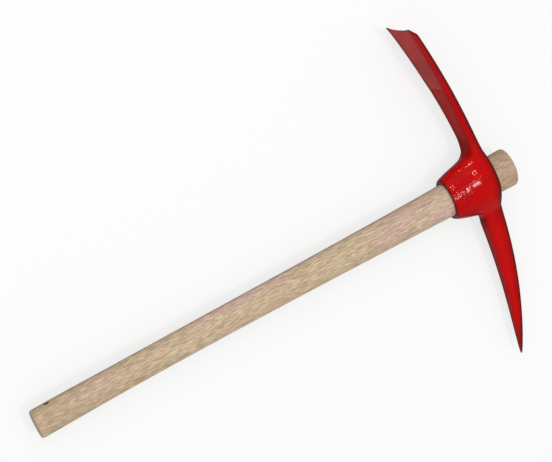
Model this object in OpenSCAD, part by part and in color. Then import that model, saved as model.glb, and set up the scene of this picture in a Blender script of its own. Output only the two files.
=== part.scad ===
// Pick mattock: a forged head with a flat blade and a point, slipped over a tapered ash handle.
// The origin is the centre of the butt face. X runs along the handle towards the head,
// Y towards the flat blade and Z upwards, with the tool lying on its side.

/* [Handle] */
// Length of the handle from the butt face to the free end
handle_l = 900; // [780:10:1000]
// Width of the oval section at the butt
butt_w = 49; // [44:0.5:54]
// Width of the oval section at the slimmest part of the grip
waist_w = 46.5; // [40:0.5:50]
// Distance of the slimmest part of the grip from the butt face
waist_x = 170; // [100:10:300]
// Thickness of the oval section for each unit of its width
oval = 0.8; // [0.7:0.01:0.9]
// Rounding of the butt's edge
butt_round = 3; // [1:0.5:6]
// Rounding of the free end's edge
stub_round = 6; // [2:0.5:12]

/* [Eye] */
// Width of the handle where it enters the socket
rim_w = 57.6; // [54:0.2:62]
// Width of the handle at its free end
end_w = 68.6; // [64:0.2:74]
// Gap between the handle and the eye on the thin sides of the oval
fit_gap = 0.3; // [0.2:0.05:0.6]
// Length of the handle that stands out beyond the head
stub_l = 41; // [20:1:60]
// Length of the socket from its rim to the crown of the head
socket_l = 88; // [78:1:100]

/* [Socket] */
// Wall above and below the eye at the rim
rim_wall = 3; // [2.5:0.1:5]
// Wall above and below the eye at the crown
crown_wall = 5; // [4:0.1:8]
// Width of the socket just behind its rounded lip
lip_w = 75; // [70:0.5:80]
// Rounding of the lip at the rim
lip_round = 4; // [2:0.5:5]
// Angle at which each side of the socket flares towards the arms
flare_angle = 16.5; // [10:0.5:20]
// Fillet between the socket and the blade
root_fillet = 25; // [15:1:35]
// Height by which the crown stands out of the line of the arms
crown_rise = 2; // [0:0.5:6]

/* [Blade] */
// Reach of the cutting edge from the handle's centre line
blade_reach = 300; // [240:5:340]
// Distance by which the blade's back falls away from the crown at the cutting edge
blade_drop = 49; // [25:1:60]
// Width of the cutting edge
blade_w = 84; // [70:1:110]
// Width of the blade beside the socket
blade_root_w = 36; // [30:1:44]
// Thickness of the blade beside the socket
blade_root_t = 18; // [14:0.5:22]
// Thickness of the blade where the ground bevel starts
blade_bevel_t = 8; // [5:0.5:11]
// Length of the ground bevel
bevel_l = 14; // [8:1:22]
// Thickness left at the cutting edge
edge_t = 1.4; // [1:0.1:3]
// Hollow of the cutting edge between its corners
edge_dip = 3; // [0:0.5:6]

/* [Pick] */
// Reach of the point from the handle's centre line
pick_reach = 313; // [250:5:350]
// Distance by which the point's back falls away from the crown at the tip
pick_drop = 57; // [30:1:70]
// Depth of the point beside the socket, along the handle
pick_root_d = 38; // [30:0.5:42]
// Depth of the point just before its rounded nose
pick_nose_d = 10; // [6:0.5:14]
// Thickness of the point beside the socket, across the handle
pick_root_t = 22; // [18:0.5:28]
// Thickness of the point just before its rounded nose
pick_nose_t = 6; // [4:0.5:10]
// Width of the worn flat at the tip
tip_flat = 2.5; // [1.5:0.5:5]

/* [Finish] */
// Rounding along the edges of both arms
arm_round = 2.5; // [1:0.5:4]

/* [Hidden] */
$fn = 96;
handle_sides = 360;

// Shape exponents of the forging
blade_sweep = 1.8;
blade_thinning = 1.3;
pick_sweep = 2.3;
pick_taper = 1.3;
blade_flare = 1.2;
nose_power = 6;
socket_power = 2.3;

// Counts of stations along the arms and of points round each section
blade_steps = 14;
fillet_steps = 6;
flare_steps = 4;
lip_steps = 4;
eye_steps = 12;
pick_steps = 18;
bevel_steps = 2;
grip_steps = 24;
round_steps = 6;
face_steps = 4;
wall_steps = 14;

// Least half thickness of the socket's side edges
side_edge = 1.5;
// Run over which an arm rises out of the socket's flank
blade_blend = 25;
pick_blend = 8;
// Softness of the seam between the socket and the arms
seam_blend = 6;
// Extra length of the eye's cutter beyond each mouth
cutter_over = 12;
// Length sawn off the butt to leave its face flat
butt_trim = 2;
// Share of the rim's wall that its rounding may take
rim_round_share = 0.6;

crown_x = handle_l - stub_l;
rim_x = crown_x - socket_l;
taper = (end_w - rim_w) / 2 / (handle_l - rim_x);
eye_gap = fit_gap / oval;

function clamp01(t) = min(1, max(0, t));
function mix(a, b, t) = a + (b - a) * t;
function ease(t) = let (s = clamp01(t)) s * s * (3 - 2 * s);
function soft_max(a, b, k) = max(a, b) + pow(max(0, k - abs(a - b)), 2) / 4 / k;

// Half width of the handle at distance x from the butt face
function handle_half(x) =
    x < waist_x ? mix(butt_w, waist_w, ease(x / waist_x)) / 2 :
    x < rim_x ? mix(waist_w, rim_w, pow((x - waist_x) / (rim_x - waist_x), 2)) / 2 :
    rim_w / 2 + taper * (x - rim_x);

// Half profile of the handle, radius first and then distance from the butt face
function round_end(x, r, from) =
    [for (k = [0 : round_steps])
     let (a = from + 90 * k / round_steps)
     [handle_half(x) - r + r * cos(a), x + r * sin(a)]];
handle_profile = concat(
    [[0, -butt_trim], [handle_half(butt_round) - butt_round, -butt_trim]],
    round_end(butt_round, butt_round, -90),
    [for (k = [1 : grip_steps])
     let (x = mix(butt_round, rim_x, k / grip_steps))
     [handle_half(x), x]],
    round_end(handle_l - stub_round, stub_round, 0),
    [[0, handle_l]]);

// Turns a body of revolution into an oval one along X
module lay_oval() {
    rotate([0, 90, 0]) scale([oval, 1, 1]) children();
}

// The head's outlines are taken from the crown: x is negative towards the grip.

// Back of the head, the side away from the grip
function crown_bump(y) =
    let (span = lip_w / 2 + root_fillet / 2) crown_rise * (1 - ease(abs(y) / span));
function back_x(y) =
    crown_bump(y) - crown_rise
    - (y > 0 ? blade_drop * pow(y / blade_reach, blade_sweep)
             : pick_drop * pow(-y / pick_reach, pick_sweep));

// Grip side of the blade, with the ground bevel left out
function blade_t(y) =
    let (s = clamp01(y / (blade_reach - bevel_l)))
    mix(blade_root_t, blade_bevel_t, pow(s, blade_thinning));
function blade_front_x(y) = back_x(y) - blade_t(y);
function blade_half_w(y) =
    mix(blade_root_w, blade_w, pow(clamp01((y - fillet_y) / (blade_reach - fillet_y)), blade_flare)) / 2;

// Point: depth along the handle and thickness across it, both closing in a round nose
function pick_share(y) = clamp01((-y - corner_y) / (pick_reach - corner_y));
function pick_size(root, nose, y) =
    let (s = pick_share(y))
    max(tip_flat, mix(root, nose, pow(s, pick_taper)) * sqrt(1 - pow(s, nose_power)));
function pick_front_x(y) = back_x(y) - pick_size(pick_root_d, pick_nose_d, y);
function pick_half_t(y) = pick_size(pick_root_t, pick_nose_t, y) / 2;

// Socket: straight flaring sides behind a rounded lip
lip_x = -socket_l + lip_round;
lip_y = lip_w / 2;
function socket_half_w(x) = lip_y + tan(flare_angle) * (x - lip_x);
function socket_half_h(x) =
    oval * handle_half(crown_x + x) + fit_gap
    + mix(rim_wall, crown_wall, clamp01(1 + x / socket_l));
function socket_z(x, y) =
    let (share = abs(y) / socket_half_w(x))
    socket_half_h(x) * pow(max(0, 1 - pow(share, socket_power)), 1 / socket_power);

// Fillet between the flaring side and the blade, tangent to both
fillet_x = -crown_rise - blade_root_t - root_fillet;
fillet_y = socket_half_w(fillet_x) + root_fillet / cos(flare_angle);
shoulder_y = fillet_y - root_fillet * cos(flare_angle);
// Corner between the flaring side and the point
corner_x = -crown_rise - pick_root_d;
corner_y = socket_half_w(corner_x);

function lip_edge_x(y) =
    let (rise = max(0, y - lip_y + lip_round))
    lip_x - sqrt(max(0, lip_round * lip_round - rise * rise));
function flare_x(y) = lip_x + (y - lip_y) / tan(flare_angle);
function fillet_edge_x(y) =
    fillet_x + sqrt(max(0, pow(root_fillet, 2) - pow(fillet_y - y, 2)));

// Edge of the head that faces the grip
function front_x(y) =
    abs(y) <= lip_y ? lip_edge_x(abs(y)) :
    y > 0 ? (y < shoulder_y ? flare_x(y) :
             y < fillet_y ? min(fillet_edge_x(y), blade_front_x(y)) : blade_front_x(y)) :
    -y < corner_y ? flare_x(-y) : pick_front_x(y);

// Back edge with the bevel ground off at the cutting edge
function ground_back_x(y) =
    let (s = clamp01((y - blade_reach + bevel_l) / bevel_l))
    mix(back_x(y), blade_front_x(y) + edge_t, s);

// Half thickness of the head at a point of its outline
function arm_z(y) = mix(pick_half_t(y), blade_half_w(y), ease((y + lip_y) / lip_w));
function arm_rise(x, y) =
    y > 0 ? ease((x - blade_front_x(y)) / blade_blend + 1)
          : ease((x - pick_front_x(y)) / pick_blend + 1);
function head_z(x, y) =
    max(side_edge, soft_max(socket_z(x, y), arm_z(y) * arm_rise(x, y), seam_blend));

// Rounding that takes the edge off each section near its two ends
function edge_cut(d, r) = d >= r ? 0 : r - sqrt(max(0, r * r - (r - d) * (r - d)));
function section_round(x0, x1, y) =
    min(arm_round, (x1 - x0) / 3, abs(y) < lip_y ? rim_round_share * rim_wall : arm_round);

// One section of the head at distance y from the handle: back face, top, front face, underside
function section(y) =
    let (x0 = front_x(y),
         x1 = ground_back_x(y),
         r = section_round(x0, x1, y),
         hollow = edge_dip * clamp01((y - blade_reach + 2 * bevel_l) / bevel_l / 2),
         top = [for (k = [0 : wall_steps])
                let (x = mix(x1, x0, (1 - cos(180 * k / wall_steps)) / 2),
                     h = head_z(x, y))
                [x, max(side_edge / 2, h - edge_cut(min(x - x0, x1 - x), min(r, h / 2)))]],
         back_z = top[0][1],
         front_z = top[wall_steps][1],
         loop = concat(
             top,
             [for (k = [1 : face_steps - 1]) [x0, front_z * (1 - 2 * k / face_steps)]],
             [for (k = [wall_steps : -1 : 0]) [top[k][0], -top[k][1]]],
             [for (k = [1 : face_steps - 1]) [x1, back_z * (2 * k / face_steps - 1)]]),
         w = blade_half_w(y))
    [for (p = loop) [crown_x + p[0], y - hollow * (1 - pow(p[1] / w, 2)), p[1]]];

blade_ys = concat(
    [for (k = [0 : bevel_steps - 1]) blade_reach - bevel_l * k / bevel_steps],
    [for (k = [0 : blade_steps - 1]) mix(blade_reach - bevel_l, fillet_y, k / blade_steps)]);
fillet_ys = [for (k = [0 : fillet_steps - 1])
             fillet_y - root_fillet * sin((90 - flare_angle) * k / fillet_steps)];
flare_ys = [for (k = [0 : flare_steps - 1]) mix(shoulder_y, lip_y, k / flare_steps)];
lip_ys = [for (k = [0 : lip_steps - 1]) lip_y - lip_round * (1 - cos(90 * k / lip_steps))];
eye_ys = [for (k = [0 : eye_steps]) (lip_y - lip_round) * cos(180 * k / eye_steps)];
back_flare_ys = [for (k = [1 : flare_steps]) -mix(lip_y, corner_y, k / flare_steps)];
pick_ys = [for (k = [1 : pick_steps]) -mix(corner_y, pick_reach, sin(90 * k / pick_steps))];
stations = concat(
    blade_ys, fillet_ys, flare_ys, lip_ys, eye_ys,
    [for (k = [lip_steps - 1 : -1 : 0]) -lip_ys[k]],
    back_flare_ys, pick_ys);

// Skins a list of closed sections and caps both ends
module skin(sections) {
    n = len(sections[0]);
    last = len(sections) - 1;
    ring_points = [for (s = sections) each s];
    centre_a = len(ring_points);
    function middle(s) = [for (axis = [0 : 2]) (min([for (p = s) p[axis]]) + max([for (p = s) p[axis]])) / 2];
    sides = [for (i = [0 : last - 1], k = [0 : n - 1], half = [0, 1])
             let (a = i * n + k,
                  b = i * n + (k + 1) % n)
             half == 0 ? [a, b, b + n] : [a, b + n, a + n]];
    cap_a = [for (k = [0 : n - 1]) [centre_a, (k + 1) % n, k]];
    cap_b = [for (k = [0 : n - 1]) [centre_a + 1, last * n + k, last * n + (k + 1) % n]];
    polyhedron(
        points = concat(ring_points, [middle(sections[0]), middle(sections[last])]),
        faces = concat(sides, cap_a, cap_b));
}

// Tapered oval hole through the socket
module eye() {
    start = rim_x - cutter_over;
    length = socket_l + 2 * cutter_over;
    translate([start, 0, 0])
        lay_oval()
            cylinder(
                h = length,
                r1 = rim_w / 2 + eye_gap - taper * cutter_over,
                r2 = rim_w / 2 + eye_gap + taper * (socket_l + cutter_over));
}

module ash_handle() {
    color([0.8, 0.68, 0.52])
        difference() {
            lay_oval() rotate_extrude($fn = handle_sides) polygon(handle_profile);
            translate([-2 * butt_trim, -butt_w, -butt_w]) cube(2 * [butt_trim, butt_w, butt_w]);
        }
}

module forged_head() {
    color([0.75, 0.04, 0.05])
        difference() {
            skin([for (y = stations) section(y)]);
            eye();
        }
}

ash_handle();
forged_head();
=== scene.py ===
import math

import bmesh
import bpy
from mathutils import Matrix, Vector, kdtree


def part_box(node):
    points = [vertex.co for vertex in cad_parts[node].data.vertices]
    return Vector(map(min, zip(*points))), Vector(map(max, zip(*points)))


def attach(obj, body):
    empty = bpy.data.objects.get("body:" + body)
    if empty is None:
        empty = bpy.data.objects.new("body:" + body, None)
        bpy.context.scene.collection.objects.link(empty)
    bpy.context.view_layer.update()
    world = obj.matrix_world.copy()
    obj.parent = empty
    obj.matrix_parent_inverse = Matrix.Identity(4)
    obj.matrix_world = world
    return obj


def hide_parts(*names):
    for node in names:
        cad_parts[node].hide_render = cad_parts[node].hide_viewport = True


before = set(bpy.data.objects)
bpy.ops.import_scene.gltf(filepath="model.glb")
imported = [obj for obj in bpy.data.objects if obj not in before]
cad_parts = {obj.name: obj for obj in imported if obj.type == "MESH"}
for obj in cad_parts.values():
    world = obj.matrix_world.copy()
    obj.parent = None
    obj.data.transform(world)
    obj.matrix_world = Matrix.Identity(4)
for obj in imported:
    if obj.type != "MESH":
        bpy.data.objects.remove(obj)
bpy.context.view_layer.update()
headLow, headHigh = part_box("forged_head")
handleLow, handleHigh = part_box("ash_handle")
mm = 0.001
smoothAngle = math.radians(50)
scene = bpy.context.scene
print("frame loaded")


# Edit mode helpers: sizes are in millimetres from a piece's own start point

def openPiece(name):
    piece = bpy.context.object
    piece.name = name
    piece.data.name = name
    bpy.ops.object.transform_apply(location=True, rotation=True, scale=True)
    bpy.ops.object.mode_set(mode="EDIT")
    return piece


def choose(piece, start, kind, test, along=None):
    bpy.ops.mesh.select_mode(type=kind)
    bpy.ops.mesh.select_all(action="DESELECT")
    cage = bmesh.from_edit_mesh(piece.data)
    for item in {"VERT": cage.verts, "EDGE": cage.edges, "FACE": cage.faces}[kind]:
        corners = [item] if kind == "VERT" else item.verts
        item.select_set(all(test((corner.co - start) / mm) for corner in corners))
        if along is not None and item.select:  # only edges that run along this axis
            run = corners[1].co - corners[0].co
            item.select_set(abs(run[along]) > run.length / 2)
    cage.select_flush_mode()
    bmesh.update_edit_mesh(piece.data)


def fit(piece, start, low, high, test=None):
    # moves and sizes what is chosen into a box, or only its points that pass the test
    cage = bmesh.from_edit_mesh(piece.data)
    chosen = [point for point in cage.verts if point.select]
    moved = [point for point in chosen if test is None or test((point.co - start) / mm)]
    low, high = [start + Vector(corner) * mm for corner in (low, high)]
    oldLow = Vector([min(point.co[axis] for point in moved) for axis in range(3)])
    oldHigh = Vector([max(point.co[axis] for point in moved) for axis in range(3)])
    oldMiddle = (oldLow + oldHigh) / 2
    spans = [(high[axis] - low[axis], oldHigh[axis] - oldLow[axis]) for axis in range(3)]
    tiny = 0.01 * mm
    sizes = [new / old if old > tiny else 1 for new, old in spans]
    mode = tuple(bpy.context.tool_settings.mesh_select_mode)
    bpy.ops.mesh.select_mode(type="VERT")
    for point in chosen:
        point.select_set(point in moved)
    cage.select_flush_mode()
    bpy.ops.transform.resize(value=sizes, center_override=oldMiddle)
    bpy.ops.transform.translate(value=(low + high) / 2 - oldMiddle)
    for point in chosen:
        point.select_set(True)
    cage.select_flush_mode()
    bpy.context.tool_settings.mesh_select_mode = mode
    bmesh.update_edit_mesh(piece.data)


def crease(piece, start, value, test, along=None):
    choose(piece, start, "EDGE", test, along)
    cage = bmesh.from_edit_mesh(piece.data)
    layer = cage.edges.layers.float.get("crease_edge")
    if layer is None:
        layer = cage.edges.layers.float.new("crease_edge")
    for edge in cage.edges:
        if edge.select:
            edge[layer] = value
    bmesh.update_edit_mesh(piece.data)


def smoothWhole(piece, levels):
    bpy.ops.object.mode_set(mode="OBJECT")
    smooth = piece.modifiers.new("smooth", "SUBSURF")
    smooth.levels = levels
    smooth.render_levels = levels
    bpy.ops.object.modifier_apply(modifier=smooth.name)
    bpy.ops.object.shade_smooth_by_angle(angle=smoothAngle)


def keepValues(piece, name, values):
    layer = piece.data.attributes.new(name, "FLOAT", "POINT")
    layer.data.foreach_set("value", values)


def keepLookUp(piece):
    # stores how far each point looks up, for painted shade on the sides
    keepValues(piece, "lookUp", [point.normal.z for point in piece.data.vertices])


def keepEdgeDistance(piece, start, faintness, steps=4):
    # stores how far each point lies from the marked edges, for worn paint and painted shade there
    mesh = piece.data
    marks = []
    for edge in mesh.edges:
        if edge.use_seam:
            first, last = [mesh.vertices[number].co for number in edge.vertices]
            marks += [first.lerp(last, step / steps) for step in range(steps)]
    near = kdtree.KDTree(len(marks))
    for number, mark in enumerate(marks):
        near.insert(mark, number)
    near.balance()
    found = [near.find(point.co) for point in mesh.vertices]
    values = [gap + faintness((mark - start) / mm) * mm for mark, number, gap in found]
    keepValues(piece, "edgeDistance", values)


def mix(a, b, share):
    return a + (b - a) * min(1, max(0, share))


# Camera at the photo's angle

shot = {
    "place": (-0.20619, 0.86387, 2.34723),
    "right": (0.84989, -0.3747, 0.37053),
    "up": (0.45446, 0.87711, -0.15541),
    "lens": 104.35,
    "sensor": 36,
}
camera = bpy.data.objects.new("camera", bpy.data.cameras.new("camera"))
scene.collection.objects.link(camera)
camera.data.lens = shot["lens"]
camera.data.sensor_width = shot["sensor"]
right = Vector(shot["right"]).normalized()
up = Vector(shot["up"]).normalized()
turn = Matrix((right, up, right.cross(up))).transposed().to_4x4()
camera.matrix_world = Matrix.Translation(shot["place"]) @ turn
scene.camera = camera
print("camera set")


# Node helpers

def addNode(tree, kind, inputs, **settings):
    node = tree.nodes.new("ShaderNode" + kind)
    for name, value in settings.items():
        setattr(node, name, value)
    for name, value in inputs.items():
        if isinstance(value, bpy.types.NodeSocket):
            tree.links.new(value, node.inputs[name])
        else:
            node.inputs[name].default_value = value
    return node


def newFinish(name):
    material = bpy.data.materials.new(name)
    material.use_nodes = True
    tree = material.node_tree
    place = addNode(tree, "TexCoord", {}).outputs["Object"]
    return material, tree, tree.nodes["Principled BSDF"], place


def noise(tree, place, scale, detail=2, stretch=(1, 1, 1)):
    mapped = addNode(tree, "Mapping", {"Vector": place, "Scale": stretch}).outputs["Vector"]
    return addNode(tree, "TexNoise", {"Vector": mapped, "Scale": scale, "Detail": detail}).outputs["Fac"]


def ramp(tree, value, fromLow, fromHigh, toLow=0, toHigh=1):
    inputs = {"Value": value, "From Min": fromLow, "From Max": fromHigh, "To Min": toLow, "To Max": toHigh}
    return addNode(tree, "MapRange", inputs, interpolation_type="SMOOTHSTEP").outputs["Result"]


def reckon(tree, operation, first, second):
    return addNode(tree, "Math", {0: first, 1: second}, operation=operation).outputs["Value"]


def reckonVector(tree, operation, first, second):
    return addNode(tree, "VectorMath", {0: first, 1: second}, operation=operation).outputs["Vector"]


def scaleColour(tree, colour, share):
    return addNode(tree, "VectorMath", {0: colour, "Scale": share}, operation="SCALE").outputs["Vector"]


def gapTo(tree, place, point):
    return addNode(tree, "VectorMath", {0: place, 1: point}, operation="DISTANCE").outputs["Value"]


def blend(tree, share, first, second, way="MIX"):
    node = addNode(tree, "Mix", {0: share, 6: first, 7: second}, data_type="RGBA", blend_type=way)
    return node.outputs[2]


def shadeSides(tree, colour, sideFrom, share, where=1, sooner=0):
    lookUp = addNode(tree, "Attribute", {}, attribute_name="lookUp").outputs["Fac"]
    lookUp = reckon(tree, "SUBTRACT", lookUp, sooner)
    dark = reckon(tree, "MULTIPLY", ramp(tree, lookUp, *sideFrom, 0, 1 - share), where)
    kept = reckon(tree, "SUBTRACT", 1, dark)
    return scaleColour(tree, colour, kept)


def nearRow(tree, place, along, first, last, half, fade):
    # how near a place lies to a straight row between two points
    first, last = Vector(first), Vector(last)
    offset = reckonVector(tree, "SUBTRACT", place, first)
    aside = reckonVector(tree, "CROSS_PRODUCT", offset, (last - first).normalized())
    aside = addNode(tree, "VectorMath", {0: aside}, operation="LENGTH").outputs["Value"]
    within = reckon(tree, "MULTIPLY", ramp(tree, along, first.x - fade, first.x),
                    ramp(tree, along, last.x + fade, last.x))
    return reckon(tree, "MULTIPLY", ramp(tree, aside, *half), within)


def bump(tree, height, strength, distance, under=None):
    inputs = {"Height": height, "Strength": strength, "Distance": distance}
    if under is not None:
        inputs["Normal"] = under
    return addNode(tree, "Bump", inputs).outputs["Normal"]


# Red paint: glossy all over, dull on the two faces that look towards the grip, where its darker, greyer red
# is partly painted shade and painted reflection

paint = {
    # each zone: deepest and brightest red, green and blue, and where across the head it takes over; the
    # gloss coat's lighter zones on the socket's blade side and on the point's middle are painted light
    "gloss": {"zones": (
        (0.49, 0.59, 0.0015, None),
        (0.54, 0.65, 0.0015, (0.004, 0.026)),
        (0.49, 0.58, 0.002, (0.03, 0.08)),
        (0.44, 0.52, 0.010, (0.10, 0.28)),
        (0.54, 0.65, 0.002, (-0.045, -0.12)),
        (0.34, 0.41, 0.008, (-0.245, -0.295)),
    ), "line": 0, "rough": (0.06, 0.11), "shine": 0.06, "side": 0.5, "onSocket": True},
    # the dull coat's darker, greyer red is partly painted shade and painted reflection on faces turned from
    # the light
    "dull": {"zones": (
        (0.28, 0.44, 0.004, None),
        (0.385, 0.60, 0.028, (0.05, 0.11)),
        (0.43, 0.61, 0.066, (0.1775, 0.1795)),
        (0.385, 0.60, 0.028, (-0.05, -0.11)),
    ), "line": 0.6, "rough": (0.45, 0.6), "shine": 0.03, "side": 1, "onSocket": False},
    # lengths and places in metres; a pair gives where a change starts and where it is complete
    "noiseFrom": (0.3, 0.7), "cloudScale": 18, "roughScale": 40,
    "forgeScale": 60, "forgeBump": 0.2, "forgeDepth": 0.001,
    "lineAt": 0.1782, "lineHalf": (0.0014, 0.0006),
    "bare": (0.045, 0.036, 0.034, 1), "thin": (0.075, 0.006, 0.006, 1),
    "edgeWear": (0.2985, 0.3005), "tipWear": (-0.308, -0.3125),
    "wearRagged": 0.004, "raggedScale": 260, "arrisRagged": 0.3,
    "arrisWearAndShade": (0.0060, 0.0020), "arrisShare": 0.85, "arrisShadeReach": (0.018, 0.002), "arrisShade": 0.3,
    "sideFrom": (0.55, -0.1), "sidesTo": (0.075, 0.055),
    "pointSide": (-0.018, -0.034), "pointSooner": 0.62, "pointTo": (0.822, 0.806),
    "rimShadowFrom": (0.0040, 0.0008), "rimShadowShare": 0.75,
    "rootFrom": (0.048, 0.055), "rootTo": (0.110, 0.085), "rootRough": 0.5,
    "lumpScale": 400, "lumpDepth": 0.0005, "lumpsFrom": (0.004, 0.016), "lumpsTo": (0.048, 0.038),
    "lumpsRim": (0.814, 0.806), "lumpsCrown": (0.838, 0.831),
    "calmAt": (0.8195, 0.0092, 0.0290), "calmReach": (0.0065, 0.0100),
    "fleckRows": (((0.797, 0.038, 0.0133), (0.832, 0.0455, 0.0208), (0.0030, 0.0012)),
                  ((0.7760, 0.0050, 0.0264), (0.807, 0.0090, 0.0280), (0.0050, 0.0030))), "rowFade": 0.001,
    "fleckRings": ((0.8245, 0.029, 0.026), (0.7795, 0.0225, 0.0222)),
    "fleckRing": 0.0030, "fleckRingHalf": (0.0030, 0.0012),
    "fleckScale": 340, "fleckFrom": (0.55, 0.59), "fleckFacing": (-0.082, 0.086, 0.993),
}


def redPaint(name, coat):
    material, tree, shader, place = newFinish(name)
    axes = addNode(tree, "SeparateXYZ", {"Vector": place}).outputs
    along, across = axes["X"], axes["Y"]
    reach = reckon(tree, "ABSOLUTE", across, 0)
    cloud = ramp(tree, noise(tree, place, paint["cloudScale"], 4), *paint["noiseFrom"])
    colour = None
    for deep, bright, green, takeOver in coat["zones"]:
        zone = blend(tree, cloud, (deep, green, green, 1), (bright, green, green, 1))
        colour = blend(tree, ramp(tree, across, *takeOver), colour, zone) if takeOver else zone
    if coat["line"]:
        off = reckon(tree, "ABSOLUTE", reckon(tree, "SUBTRACT", across, paint["lineAt"]), 0)
        line = reckon(tree, "MULTIPLY", ramp(tree, off, *paint["lineHalf"]), coat["line"])
        colour = blend(tree, line, colour, paint["thin"])
    if coat["side"] < 1:  # painted shade on the sides, stronger on the socket's point side
        sides = ramp(tree, reach, *paint["sidesTo"])
        sooner = ramp(tree, across, *paint["pointSide"], 0, paint["pointSooner"])
        sooner = reckon(tree, "MULTIPLY", sooner, ramp(tree, along, *paint["pointTo"]))
        colour = shadeSides(tree, colour, paint["sideFrom"], coat["side"], sides, sooner)

    # painted shade towards the arrises, worn paint with painted shade at them, a painted shadow at the rim,
    # and bare steel at the cutting edge and the tip
    ragged = reckon(tree, "MULTIPLY", noise(tree, place, paint["raggedScale"], 4), paint["wearRagged"])
    arris = addNode(tree, "Attribute", {}, attribute_name="edgeDistance").outputs["Fac"]
    # painted shade: the red darkens towards the marked edges, as on a rounded form
    colour = scaleColour(tree, colour, ramp(tree, arris, *paint["arrisShadeReach"], 1, 1 - paint["arrisShade"]))
    arris = reckon(tree, "ADD", arris, reckon(tree, "MULTIPLY", ragged, paint["arrisRagged"]))
    thin = reckon(tree, "MULTIPLY", ramp(tree, arris, *paint["arrisWearAndShade"]), paint["arrisShare"])
    colour = blend(tree, thin, colour, paint["thin"])
    # painted shadow on the socket next to the rim, where the handle enters the eye
    if coat["onSocket"]:
        rim = [headLow.x + away for away in paint["rimShadowFrom"]]
        rim = reckon(tree, "MULTIPLY", ramp(tree, along, *rim), paint["rimShadowShare"])
        colour = blend(tree, rim, colour, paint["thin"])
    worn = reckon(tree, "MAXIMUM",
                  ramp(tree, reckon(tree, "ADD", across, ragged), *paint["edgeWear"]),
                  ramp(tree, reckon(tree, "SUBTRACT", across, ragged), *paint["tipWear"]))
    tree.links.new(blend(tree, worn, colour, paint["bare"]), shader.inputs["Base Color"])

    # less gloss at the blade's root
    rough = noise(tree, place, paint["roughScale"], 4)
    rough = ramp(tree, rough, *paint["noiseFrom"], *coat["rough"])
    root = ramp(tree, across, *paint["rootFrom"])
    root = reckon(tree, "MULTIPLY", root, ramp(tree, across, *paint["rootTo"]))
    rough = reckon(tree, "MAXIMUM", rough, reckon(tree, "MULTIPLY", root, paint["rootRough"]))
    tree.links.new(rough, shader.inputs["Roughness"])
    shader.inputs["Specular IOR Level"].default_value = coat["shine"]

    # small lumps on the socket's blade side and rim, apart from one calm spot
    forged = bump(tree, noise(tree, place, paint["forgeScale"], 2), paint["forgeBump"], paint["forgeDepth"])
    lumps = reckon(tree, "MAXIMUM", ramp(tree, across, *paint["lumpsFrom"]),
                   ramp(tree, along, *paint["lumpsRim"]))
    calm = gapTo(tree, place, paint["calmAt"])
    for value, limits in ((reach, "lumpsTo"), (calm, "calmReach"), (along, "lumpsCrown")):
        lumps = reckon(tree, "MULTIPLY", lumps, ramp(tree, value, *paint[limits]))
    lumps = reckon(tree, "MULTIPLY", lumps, noise(tree, place, paint["lumpScale"], 1))
    surface = bump(tree, lumps, 1, paint["lumpDepth"], forged)
    if coat["onSocket"]:  # small flat spots that catch the light
        flecks = 0
        for first, last, half in paint["fleckRows"]:
            row = nearRow(tree, place, along, first, last, half, paint["rowFade"])
            flecks = reckon(tree, "MAXIMUM", flecks, row)
        for middle in paint["fleckRings"]:
            off = reckon(tree, "SUBTRACT", gapTo(tree, place, middle), paint["fleckRing"])
            off = reckon(tree, "ABSOLUTE", off, 0)
            flecks = reckon(tree, "MAXIMUM", flecks, ramp(tree, off, *paint["fleckRingHalf"]))
        dots = ramp(tree, noise(tree, place, paint["fleckScale"], 1), *paint["fleckFrom"])
        flecks = reckon(tree, "MULTIPLY", flecks, dots)
        turned = {0: flecks, 4: surface, 5: paint["fleckFacing"]}
        surface = addNode(tree, "Mix", turned, data_type="VECTOR").outputs[1]
        surface = addNode(tree, "VectorMath", {0: surface}, operation="NORMALIZE").outputs["Vector"]
    tree.links.new(surface, shader.inputs["Normal"])
    return material


glossPaint = redPaint("glossRedPaint", paint["gloss"])
dullShadedPaint = redPaint("dullShadedRedPaint", paint["dull"])
print("paint mixed")


# Forged head: rings round the eye, then both arms pulled out of the socket's flanks

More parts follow.
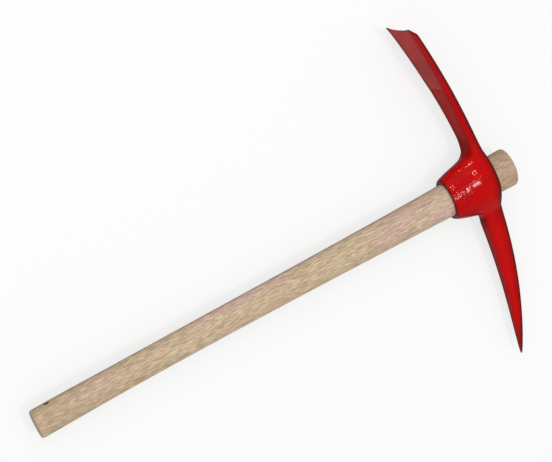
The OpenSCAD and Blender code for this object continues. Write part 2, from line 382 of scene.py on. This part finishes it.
head = {
    "columns": 16,
    "socket": (headHigh.x - headLow.x) / mm,
    "eyeRim": 58.4, "eyeCrown": 65.9, "eyeOval": 0.8,
    "rimWall": 3.0, "crownWall": 5.0,
    "lipHalf": 37.5, "lipRound": 4.0, "flare": 16.5,
    "crownRise": 2.0, "band": 31.0, "backSwell": 1.4, "backShare": 0.1,
    "bladeReach": headHigh.y / mm, "bladeDrop": 50.2, "bladeSweep": 1.8,
    "bladeHalf": headHigh.z / mm, "bladeRootHalf": 18.0, "bladeFlare": 1.2,
    "bladeThick": 18.0, "bevelThick": 8.0, "bladeThinning": 1.3,
    "bladeStart": 75.0, "bevel": 14.0, "edgeThick": 1.4, "edgeDip": 3.0,
    "dips": ((-0.1, 0.25, 1), (0.25, 0.75, 0.75)),  # share of the width from and to, share of the dip
    "bladeStops": (75, 100, 130, 155, 177, 180, 215, 255), "step": 0.6, "stepAt": 178.5,
    "pointReach": -headLow.y / mm, "pointDrop": 57.0, "pointSweep": 2.3,
    "pointDeep": 38.0, "noseDeep": 11.5, "pointThick": 22.0, "noseThick": 6.0, "pointTaper": 1.3,
    "pointStart": 50.5, "nosePower": 6, "tip": 2.5,
    "pointStops": (57, 75, 110, 150, 195, 240, 278, 302, 313),
    "softArris": 0.45, "softRim": 0.5, "softBand": 0.6, "crispEdge": 0.95,
    "faint": (5.6, 4.0), "faintFrom": 160, "faintBeyond": 40, "boldBack": 0.5,
    # where the arms leave the socket, and the shares and limits that tell the cage's points apart
    "bladeRoot": 57, "pointRoot": 52, "pointRootHalf": 11, "pointFace": (-47, -40, 14),
    "flankTo": 0.75, "shoulderHigh": 0.93, "ridgeFrom": 0.97, "near": 1.0,
    "crownFrom": -6, "crownHalf": 17, "crownBeyond": 50, "crownRidge": 0.9,
    "rootBeyond": 27, "rootHalf": 10, "bandHalf": 20, "bevelBack": 1.5,
    "bladeSide": 0.9, "pointSide": 0.8, "pointEnds": 0.4, "gripFace": 0.8, "gripBeyond": 55,
    "levels": 3,
}
headStart = Vector((headHigh.x, 0, 0))
rimX = -head["socket"]
lipX = rimX + head["lipRound"]
bandX = -head["band"]
crownX = head["backSwell"]  # smoothing draws the back in by about this
ringSwell = 1 / (2 / 3 + math.cos(math.tau / head["columns"]) / 3)  # smoothing draws a ring in by this


def backX(y):
    if y > 0:
        return -head["crownRise"] - head["bladeDrop"] * (y / head["bladeReach"]) ** head["bladeSweep"]
    return -head["crownRise"] - head["pointDrop"] * (-y / head["pointReach"]) ** head["pointSweep"]


def bladeThick(y):
    share = y / (head["bladeReach"] - head["bevel"])
    step = head["step"] if y > head["stepAt"] else 0  # the outer half of the face stands proud
    return mix(head["bladeThick"], head["bevelThick"], share ** head["bladeThinning"]) + step


def bladeHalf(y):
    share = max(0, y - head["bladeStart"]) / (head["bladeReach"] - head["bladeStart"])
    return mix(head["bladeRootHalf"], head["bladeHalf"], share ** head["bladeFlare"])


def pointSize(root, nose, y):
    share = min(1, max(0, (-y - head["pointStart"]) / (head["pointReach"] - head["pointStart"])))
    nosed = math.sqrt(1 - share ** head["nosePower"])
    return max(head["tip"], mix(root, nose, share ** head["pointTaper"]) * nosed)


def sideY(x):
    return head["lipHalf"] + math.tan(math.radians(head["flare"])) * (x - lipX)


def eyeHalf(x):
    return mix(head["eyeRim"], head["eyeCrown"], 1 + x / head["socket"]) / 2


def socketTop(x):
    return eyeHalf(x) * head["eyeOval"] + mix(head["rimWall"], head["crownWall"], 1 + x / head["socket"])


bpy.ops.object.select_all(action="DESELECT")
bpy.ops.mesh.primitive_cylinder_add(
    vertices=head["columns"], radius=head["eyeCrown"] * mm / 2, depth=head["socket"] * mm,
    end_fill_type="NOTHING", location=headStart + Vector((rimX, 0, 0)) * mm / 2,
    rotation=(0, math.pi / 2, 0))
forging = openPiece("forgedHead")

for x in (rimX, 0):  # bore
    choose(forging, headStart, "VERT", lambda p: abs(p.x - x) < head["near"])
    wide = eyeHalf(x) * ringSwell
    fit(forging, headStart, (x, -wide, -wide * head["eyeOval"]), (x, wide, wide * head["eyeOval"]))

bladeRoot = (head["bladeRoot"], head["bladeRoot"], head["bladeRootHalf"])
pointRoot = (head["pointRoot"], head["pointRoot"], head["pointRootHalf"])
bladeCrown = backX(head["bladeRoot"]) + crownX
pointCrown = backX(-head["pointRoot"]) + crownX

# each ring: x, half height, y of its shoulders, then x, inner y, outer y and half height of both flanks
socketRings = (
    (rimX, socketTop(rimX) - 0.6, 17.5, (rimX, 27.5, 37.2, 17.5), (rimX, 28, 35.2, 18)),
    (lipX, socketTop(lipX), 18.5, (lipX, 29, 40.6, 18.5), (lipX, 31, 38.6, 20)),
    (-60, socketTop(-60), 22.0, (-60, 34.5, 47.2, 18.5), (-60, 39, sideY(-60) + 2, 19.5)),
    (-46, socketTop(-46), 25.0, (-39, 42.5, 51.4, 18), (-39, 49.5, sideY(-39), 13)),
    (bandX, socketTop(bandX) + 0.5, 27.5, (-25, *bladeRoot), (-20, *pointRoot)),
    (crownX, socketTop(0) - 1.6, 28.0, (bladeCrown, *bladeRoot), (pointCrown, *pointRoot)),
)


def onRim(p):
    return abs(p.x - rimX) < head["near"]


def onCrown(p):
    onArms = abs(p.y) > head["crownBeyond"] or abs(p.z) > head["crownRidge"] * crownTop
    return p.x > head["crownFrom"] and abs(p.z) > head["crownHalf"] and onArms


def aboveThePoint(p):
    onSide = p.y < -head["rootBeyond"] and abs(p.z) > head["rootHalf"]
    return p.x > head["crownFrom"] and onSide and abs(p.y) + abs(p.z) > head["crownBeyond"]


choose(forging, headStart, "EDGE", onRim)
for x, top, shoulder, blade, point in socketRings:
    bpy.ops.mesh.extrude_edges_move()
    high = top * ringSwell
    fit(forging, headStart, (x, -high, -high), (x, high, high))
    flank = head["flankTo"] * high
    ridge = head["ridgeFrom"] * high
    upper = head["shoulderHigh"] * high
    fit(forging, headStart, (x, -shoulder, -upper), (x, shoulder, upper),
        lambda p: flank < abs(p.z) < ridge)
    for side, (sideX, inner, outer, half) in ((1, blade), (-1, point)):
        low, wide = sorted((inner * side, outer * side))
        fit(forging, headStart, (sideX, low, -half), (sideX, wide, half),
            lambda p: p.y * side > 0 and abs(p.z) < flank)
crownTop = socketRings[-1][1] * ringSwell
crease(forging, headStart, head["softArris"], onCrown)
# marked edges get worn paint and painted shade along them
bpy.ops.mesh.mark_seam()
choose(forging, headStart, "EDGE", aboveThePoint)
bpy.ops.mesh.mark_seam()
bpy.ops.mesh.select_all(action="DESELECT")
bpy.ops.mesh.select_mode(type="EDGE")
bpy.ops.mesh.select_non_manifold()
bpy.ops.mesh.bridge_edge_loops(number_cuts=1, interpolation="LINEAR")
print("socket modelled")

choose(forging, headStart, "FACE", lambda p: p.y > head["bladeRoot"] - head["near"] / 2)
bevelStart = head["bladeReach"] - head["bevel"]
for y in (*head["bladeStops"], bevelStart, head["bladeReach"]):
    bpy.ops.mesh.extrude_region_move()
    front = backX(y) - bladeThick(y)
    back = front + head["edgeThick"] if y > bevelStart else backX(y) + crownX
    fit(forging, headStart, (front, y, -bladeHalf(y)), (back, y, bladeHalf(y)))
for y, dip in ((bevelStart, head["edgeDip"] / 2), (head["bladeReach"], head["edgeDip"])):
    for low, high, share in head["dips"]:
        choose(forging, headStart, "VERT",
               lambda p: abs(p.y - y) < head["near"] and low < abs(p.z) / bladeHalf(y) < high)
        bpy.ops.transform.translate(value=(0, -dip * share * mm, 0))

faceBeyond, faceFrom, faceHalf = head["pointFace"]
choose(forging, headStart, "FACE", lambda p: p.y < faceBeyond and p.x > faceFrom and abs(p.z) < faceHalf)
for stop in head["pointStops"]:
    bpy.ops.mesh.extrude_region_move()
    deep = pointSize(head["pointDeep"], head["noseDeep"], -stop)
    half = pointSize(head["pointThick"], head["noseThick"], -stop) / 2
    back = backX(-stop) + min(crownX, deep * head["backShare"]) / 2
    fit(forging, headStart, (backX(-stop) - deep, -stop, -half), (back, -stop, half))
print("arms pulled out")


def onBladeArris(p):
    return p.y > head["bladeRoot"] - head["near"] and abs(p.z) > head["bladeSide"] * bladeHalf(p.y)


def onPointArris(p):
    half = pointSize(head["pointThick"], head["noseThick"], p.y) / 2
    deep = pointSize(head["pointDeep"], head["noseDeep"], p.y)
    onEnds = abs(p.x - backX(p.y) + deep / 2) > head["pointEnds"] * deep
    return p.y < head["near"] - head["pointRoot"] and abs(p.z) > head["pointSide"] * half and onEnds


def onEyeAtCrown(p):
    fromAxis = math.hypot(p.y, p.z / head["eyeOval"])
    return abs(p.x) < head["near"] and fromAxis < eyeHalf(0) * ringSwell + head["near"]


def onCuttingEdge(p):
    return p.y > head["bladeReach"] - head["edgeDip"] - head["near"]


def onBevelLine(p):
    return abs(p.y - bevelStart) < head["edgeDip"] and p.x > backX(p.y) - head["bevelBack"]


def onBand(p):
    return abs(p.x - bandX) < head["near"] / 2 and abs(p.z) > head["bandHalf"]


def facesGrip(p):
    if p.y > 0:
        deep = bladeThick(p.y)
        onArm = p.y > head["bladeRoot"] - head["near"]
    else:
        deep = pointSize(head["pointDeep"], head["noseDeep"], p.y)
        onArm = p.y < -head["gripBeyond"]
    return onArm and p.x < backX(p.y) - head["gripFace"] * deep


def faintness(p):
    # the worn paint and painted shade are fainter on the upper arrises beside the grip, which face the
    # light, and a little fainter on the point's back arrises
    deep = bladeThick(p.y) if p.y > 0 else pointSize(head["pointDeep"], head["noseDeep"], p.y)
    onBack = p.x > backX(p.y) - deep / 2
    if abs(p.y) < head["faintBeyond"] or p.z < 0 or onBack:
        return head["boldBack"] if onBack and p.y < -head["faintBeyond"] else 0
    return mix(*head["faint"], (p.y - head["faintFrom"]) / (head["bladeReach"] - head["faintFrom"]))


for test in (onBladeArris, onPointArris):
    crease(forging, headStart, head["softArris"], test, along=1)
    bpy.ops.mesh.mark_seam()
crease(forging, headStart, head["softRim"], onRim)
crease(forging, headStart, head["softBand"], onBand)
crease(forging, headStart, head["softRim"], onEyeAtCrown)
crease(forging, headStart, head["crispEdge"], onCuttingEdge)
crease(forging, headStart, head["crispEdge"], onBevelLine)
forging.data.materials.append(glossPaint)
forging.data.materials.append(dullShadedPaint)
choose(forging, headStart, "FACE", facesGrip)
forging.active_material_index = 1
bpy.ops.object.material_slot_assign()
bpy.ops.mesh.select_all(action="SELECT")
bpy.ops.mesh.normals_make_consistent(inside=False)
smoothWhole(forging, head["levels"])
keepEdgeDistance(forging, headStart, faintness)
keepLookUp(forging)
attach(forging, "head")
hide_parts("forged_head")
print("head done,", len(forging.data.polygons), "faces")


# Ash: growth rings cut lengthwise, with fine fibres and pores

ash = {
    "early": (0.625, 0.453, 0.332, 1), "late": (0.46, 0.320, 0.225, 1), "noiseFrom": (0.3, 0.7),
    "pith": (0, 0.05, -0.11), "along": 0.05, "ringScale": 62, "ringFrom": (0.5, 0.95), "ringShare": 0.24,
    "ringWobble": {"Distortion": 5, "Detail": 2, "Detail Scale": 0.35},
    "fibreScale": 760, "fibreStretch": 0.055, "fibreShare": 0.50, "fibreBump": 0.2, "fibreDepth": 0.0003,
    "toneScale": 30, "toneStretch": 0.12, "toneShare": 0.14,
    "pore": (0.30, 0.205, 0.13, 1), "poreShare": (0.42, 0.52),
    "pale": (0.85, 0.665, 0.515, 1), "paleShare": (0.75, 0.85), "paleShift": (3, 5, 7),
    "dashScale": 1250, "dashStretch": 0.052, "dashFrom": (0.52, 0.56),
    "patchScale": 45, "patchStretch": 0.3, "patchFrom": (0.35, 0.65),
    "rosy": (1.0, 0.955, 0.99, 1), "straw": (0.975, 1.0, 0.875, 1),
    "hueScale": 24, "hueStretch": 0.25, "hueFrom": (0.38, 0.62),
    "soiledButt": (0.92, 0.93, 0.85, 1), "buttTo": (0.30, 0.02),
    "darkerStub": (0.84, 0.82, 0.72, 1), "endFrom": (0.84, 0.87),
    "sawnPale": (0.52, 0.405, 0.28, 1), "sawnDark": (0.34, 0.255, 0.17, 1), "sawnFrom": (0.05, 0.5),
    "sawnButt": (0.0022, 0.0006), "sawnEnd": (0.8975, 0.8993),
    "sawnScale": 140, "sawnUneven": (0.25, 1), "sawnPores": 900, "sawnRings": (0.1, 0.9),
    "side": 0.68, "sideFrom": (0.35, -0.05),
    "rough": (0.5, 0.65), "shine": 0.3,
}


def lengthwise(tree, place, scale, detail, stretch):
    return noise(tree, place, scale, detail, (stretch, 1, 1))


def ashWood(name):
    material, tree, shader, place = newFinish(name)
    mapping = {"Vector": place, "Location": ash["pith"], "Scale": (ash["along"], 1, 1)}
    rings = {"Vector": addNode(tree, "Mapping", mapping).outputs["Vector"], "Scale": ash["ringScale"]}
    wave = addNode(tree, "TexWave", rings | ash["ringWobble"], wave_type="RINGS", rings_direction="X")
    wave = wave.outputs["Fac"]
    fibres = lengthwise(tree, place, ash["fibreScale"], 3, ash["fibreStretch"])
    tone = lengthwise(tree, place, ash["toneScale"], 3, ash["toneStretch"])
    rings = reckon(tree, "MULTIPLY", ramp(tree, wave, *ash["ringFrom"]), ash["ringShare"])
    strands = reckon(tree, "MULTIPLY", ramp(tree, fibres, *ash["noiseFrom"]), ash["fibreShare"])
    tones = reckon(tree, "MULTIPLY", ramp(tree, tone, *ash["noiseFrom"]), ash["toneShare"])
    grain = reckon(tree, "ADD", rings, reckon(tree, "ADD", strands, tones))
    colour = blend(tree, grain, ash["early"], ash["late"])

    # short dark pores and pale fibres
    patches = lengthwise(tree, place, ash["patchScale"], 2, ash["patchStretch"])
    pores = lengthwise(tree, place, ash["dashScale"], 1, ash["dashStretch"])
    pores = ramp(tree, pores, *ash["dashFrom"])
    strong = ramp(tree, patches, *ash["patchFrom"], *ash["poreShare"])
    colour = blend(tree, reckon(tree, "MULTIPLY", pores, strong), colour, ash["pore"])
    shifted = reckonVector(tree, "ADD", place, ash["paleShift"])
    pale = lengthwise(tree, shifted, ash["dashScale"], 1, ash["dashStretch"])
    pale = ramp(tree, pale, *ash["dashFrom"])
    strong = ramp(tree, patches, *reversed(ash["patchFrom"]), *ash["paleShare"])
    colour = blend(tree, reckon(tree, "MULTIPLY", pale, strong), colour, ash["pale"])

    # rosier and yellower lengths, a soiled butt, a darker stub above the head, and painted shade on the
    # sides
    hue = lengthwise(tree, place, ash["hueScale"], 2, ash["hueStretch"])
    hue = blend(tree, ramp(tree, hue, *ash["hueFrom"]), ash["rosy"], ash["straw"])
    colour = blend(tree, 1, colour, hue, "MULTIPLY")
    along = addNode(tree, "SeparateXYZ", {"Vector": place}).outputs["X"]
    for tint, reach in (("darkerStub", "endFrom"), ("soiledButt", "buttTo")):
        colour = blend(tree, ramp(tree, along, *ash[reach]), colour, ash[tint], "MULTIPLY")
    colour = shadeSides(tree, colour, ash["sideFrom"], ash["side"])

    # end grain
    uneven = noise(tree, place, ash["sawnScale"], 3)
    uneven = ramp(tree, uneven, *ash["noiseFrom"], *ash["sawnUneven"])
    specks = reckon(tree, "MULTIPLY", noise(tree, place, ash["sawnPores"], 2), uneven)
    specks = reckon(tree, "MULTIPLY", specks, ramp(tree, wave, *ash["sawnRings"]))
    sawn = blend(tree, ramp(tree, specks, *ash["sawnFrom"]), ash["sawnPale"], ash["sawnDark"])
    ends = reckon(tree, "MAXIMUM", ramp(tree, along, *ash["sawnButt"]), ramp(tree, along, *ash["sawnEnd"]))
    tree.links.new(blend(tree, ends, colour, sawn), shader.inputs["Base Color"])

    rough = ramp(tree, fibres, *ash["noiseFrom"], *ash["rough"])
    tree.links.new(rough, shader.inputs["Roughness"])
    shader.inputs["Specular IOR Level"].default_value = ash["shine"]
    raised = reckon(tree, "SUBTRACT", fibres, pores)
    tree.links.new(bump(tree, raised, ash["fibreBump"], ash["fibreDepth"]), shader.inputs["Normal"])
    return material


# Handle: an oval bar, slim at the grip, flared at the head end and bowed a little

shaft = {
    "columns": 24,
    "long": (handleHigh.x - handleLow.x) / mm,
    "butt": 49.0, "waist": 46.5, "waistX": 170.0, "rim": 57.6, "rimX": headLow.x / mm, "end": 68.6,
    "oval": 0.8, "bow": 2.2,
    "buttRound": 4.0, "endRound": 6.0, "roundSteps": 3,
    "stops": (30, 85, 170, 300, 430, 560, 690),
    "capShares": (0.72, 0.35), "edgeFrom": 0.9, "near": 1.0,
    "nickAt": (29.5, 24.0, 3.5), "nickSize": (4.6, 2.4, 4.0),
    "bruiseAndShade": (0.05, 0.033, 0.022, 1), "bruiseAndShadeScale": 900, "bruiseRough": 0.8,
    "levels": 2,
}
handleStart = Vector((handleLow.x, 0, 0))
shaftSwell = 1 / (2 / 3 + math.cos(math.tau / shaft["columns"]) / 3)


def shaftHalf(x):
    if x < shaft["waistX"]:
        share = x / shaft["waistX"]
        return mix(shaft["butt"], shaft["waist"], share * share * (3 - 2 * share)) / 2
    if x < shaft["rimX"]:
        share = (x - shaft["waistX"]) / (shaft["rimX"] - shaft["waistX"])
        return mix(shaft["waist"], shaft["rim"], share * share) / 2
    share = (x - shaft["rimX"]) / (shaft["long"] - shaft["rimX"])
    return mix(shaft["rim"], shaft["end"], share) / 2


def fitShaft(x, share=1):
    wide = shaftHalf(x) * shaftSwell * share
    along = min(1, x / shaft["rimX"])
    bow = 27 / 4 * shaft["bow"] * along * (1 - along) ** 2  # strongest a third of the way up
    thick = wide * shaft["oval"]
    fit(handle, handleStart, (x, bow - wide, -thick), (x, bow + wide, thick))


bpy.ops.object.select_all(action="DESELECT")
bpy.ops.mesh.primitive_cylinder_add(
    vertices=shaft["columns"], radius=shaft["butt"] * mm / 2, depth=shaft["stops"][0] * mm,
    end_fill_type="NOTHING", location=handleStart + Vector((shaft["stops"][0] * mm / 2, 0, 0)),
    rotation=(0, math.pi / 2, 0))
handle = openPiece("ashHandle")
choose(handle, handleStart, "EDGE", lambda p: p.x < shaft["near"])
fitShaft(0)
for share in shaft["capShares"]:
    bpy.ops.mesh.extrude_edges_move()
    fitShaft(0, share)
bpy.ops.mesh.edge_face_add()
choose(handle, handleStart, "EDGE", lambda p: p.x > shaft["near"])
fitShaft(shaft["stops"][0])
for x in (*shaft["stops"][1:], shaft["rimX"], headHigh.x / mm, shaft["long"]):
    bpy.ops.mesh.extrude_edges_move()
    fitShaft(x)
for share in shaft["capShares"]:
    bpy.ops.mesh.extrude_edges_move()
    fitShaft(shaft["long"], share)
bpy.ops.mesh.edge_face_add()
bpy.ops.mesh.select_all(action="SELECT")
bpy.ops.mesh.normals_make_consistent(inside=False)
for x, size in ((0, shaft["buttRound"]), (shaft["long"], shaft["endRound"])):
    outer = shaft["edgeFrom"] * shaftHalf(x) * shaftSwell
    choose(handle, handleStart, "EDGE",
           lambda p: abs(p.x - x) < shaft["near"] / 10 and math.hypot(p.y, p.z / shaft["oval"]) > outer)
    bpy.ops.mesh.bevel(offset=size * mm, segments=shaft["roundSteps"], profile=0.5)
smoothWhole(handle, shaft["levels"])
handle.data.materials.append(ashWood("ashWood"))

# small dent on the blade's side of the grip, near the butt, its near-black colour partly bruised wood and
# partly painted shade
bruiseAndShade, tree, shader, place = newFinish("bruisedShadedAsh")
mottled = blend(tree, noise(tree, place, shaft["bruiseAndShadeScale"], 2), shaft["bruiseAndShade"], ash["pore"])
tree.links.new(mottled, shader.inputs["Base Color"])
shader.inputs["Roughness"].default_value = shaft["bruiseRough"]
bpy.ops.object.select_all(action="DESELECT")
bpy.ops.mesh.primitive_ico_sphere_add(subdivisions=3, radius=mm)
cutter = openPiece("nickCutter")
bpy.ops.transform.resize(value=shaft["nickSize"], center_override=(0, 0, 0))
bpy.ops.transform.translate(value=handleStart + Vector(shaft["nickAt"]) * mm)
bpy.ops.object.mode_set(mode="OBJECT")
cutter.data.materials.append(bruiseAndShade)
bpy.ops.object.select_all(action="DESELECT")
bpy.context.view_layer.objects.active = handle
handle.select_set(True)
cut = handle.modifiers.new("nick", "BOOLEAN")
cut.object = cutter
cut.solver = "EXACT"
cut.material_mode = "TRANSFER"
bpy.ops.object.modifier_apply(modifier=cut.name)
bpy.data.objects.remove(cutter)
bpy.ops.object.shade_smooth_by_angle(angle=smoothAngle)
keepLookUp(handle)
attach(handle, "handle")
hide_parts("ash_handle")
print("handle done,", len(handle.data.polygons), "faces")


# Floor under the socket and the blade's lower corner, level along the handle so that the head slides
# clear of it, and the light

studio = {
    "floorSize": 30, "floorGrey": 0.98, "floorGlow": 0.7, "floorBounce": 0.35, "floorRough": 0.9,
    "socketWithin": 0.03, "bladeBeyond": 0.25,
    "sunFrom": (0.243, -0.169, 1.0), "sunAngle": 4, "sunLevel": 0.15,
    "lampFrom": (-0.2, 0.9, 1.0), "lampAway": 3, "lampSize": 2.5, "lampLevel": 0.22,
    "skyLevel": 0.66,
}


def lowest(piece, test):
    return min((point.co for point in piece.data.vertices if test(point.co)), key=lambda p: p.z).copy()


def seenDirectly(tree):
    ray = addNode(tree, "LightPath", {}).outputs
    shown = reckon(tree, "MAXIMUM", ray["Is Glossy Ray"], ray["Is Transmission Ray"])
    return reckon(tree, "MAXIMUM", ray["Is Camera Ray"], shown)


feet = [
    lowest(forging, lambda p: abs(p.y) < studio["socketWithin"]),
    lowest(forging, lambda p: p.y > studio["bladeBeyond"]),
]
across = feet[1] - feet[0]
tilt = Vector((0, -across.z, across.y)).normalized()
bpy.ops.object.select_all(action="DESELECT")
bpy.ops.mesh.primitive_plane_add(size=studio["floorSize"])
floor = bpy.context.object
floor.name = "floor"
middle = sum(feet, Vector()) / len(feet)
floor.matrix_world = Matrix.Translation(middle) @ tilt.to_track_quat("Z", "Y").to_matrix().to_4x4()
paper, tree, shader, _ = newFinish("paleFloor")
bounce = (studio["floorBounce"],) * 3 + (1,)
pale = (studio["floorGrey"] * (1 - studio["floorGlow"]),) * 3 + (1,)
seen = seenDirectly(tree)
tree.links.new(blend(tree, seen, bounce, pale), shader.inputs["Base Color"])
tree.links.new(reckon(tree, "MULTIPLY", seen, studio["floorGlow"]), shader.inputs["Emission Strength"])
shader.inputs["Emission Color"].default_value = (1, 1, 1, 1)
shader.inputs["Roughness"].default_value = studio["floorRough"]
shader.inputs["Specular IOR Level"].default_value = 0
floor.data.materials.append(paper)

sun = bpy.data.objects.new("sun", bpy.data.lights.new("sun", "SUN"))
scene.collection.objects.link(sun)
sun.data.energy = studio["sunLevel"] * math.pi
sun.data.angle = math.radians(studio["sunAngle"])
sun.rotation_euler = Vector(studio["sunFrom"]).to_track_quat("Z", "Y").to_euler()

lamp = bpy.data.objects.new("lamp", bpy.data.lights.new("lamp", "AREA"))
scene.collection.objects.link(lamp)
towards = Vector(studio["lampFrom"]).normalized()
lamp.data.size = studio["lampSize"]
lamp.data.energy = studio["lampLevel"] * (math.pi * studio["lampAway"]) ** 2
lamp.location = headStart + towards * studio["lampAway"]
lamp.rotation_euler = towards.to_track_quat("Z", "Y").to_euler()

sky = bpy.data.worlds.new("sky")
scene.world = sky
sky.use_nodes = True
tree = sky.node_tree
light = ramp(tree, seenDirectly(tree), 0, 1, studio["skyLevel"], 1)
back = tree.nodes["Background"]
back.inputs["Color"].default_value = (1, 1, 1, 1)
tree.links.new(light, back.inputs["Strength"])
print("studio lit")

scene.view_settings.view_transform = "Standard"
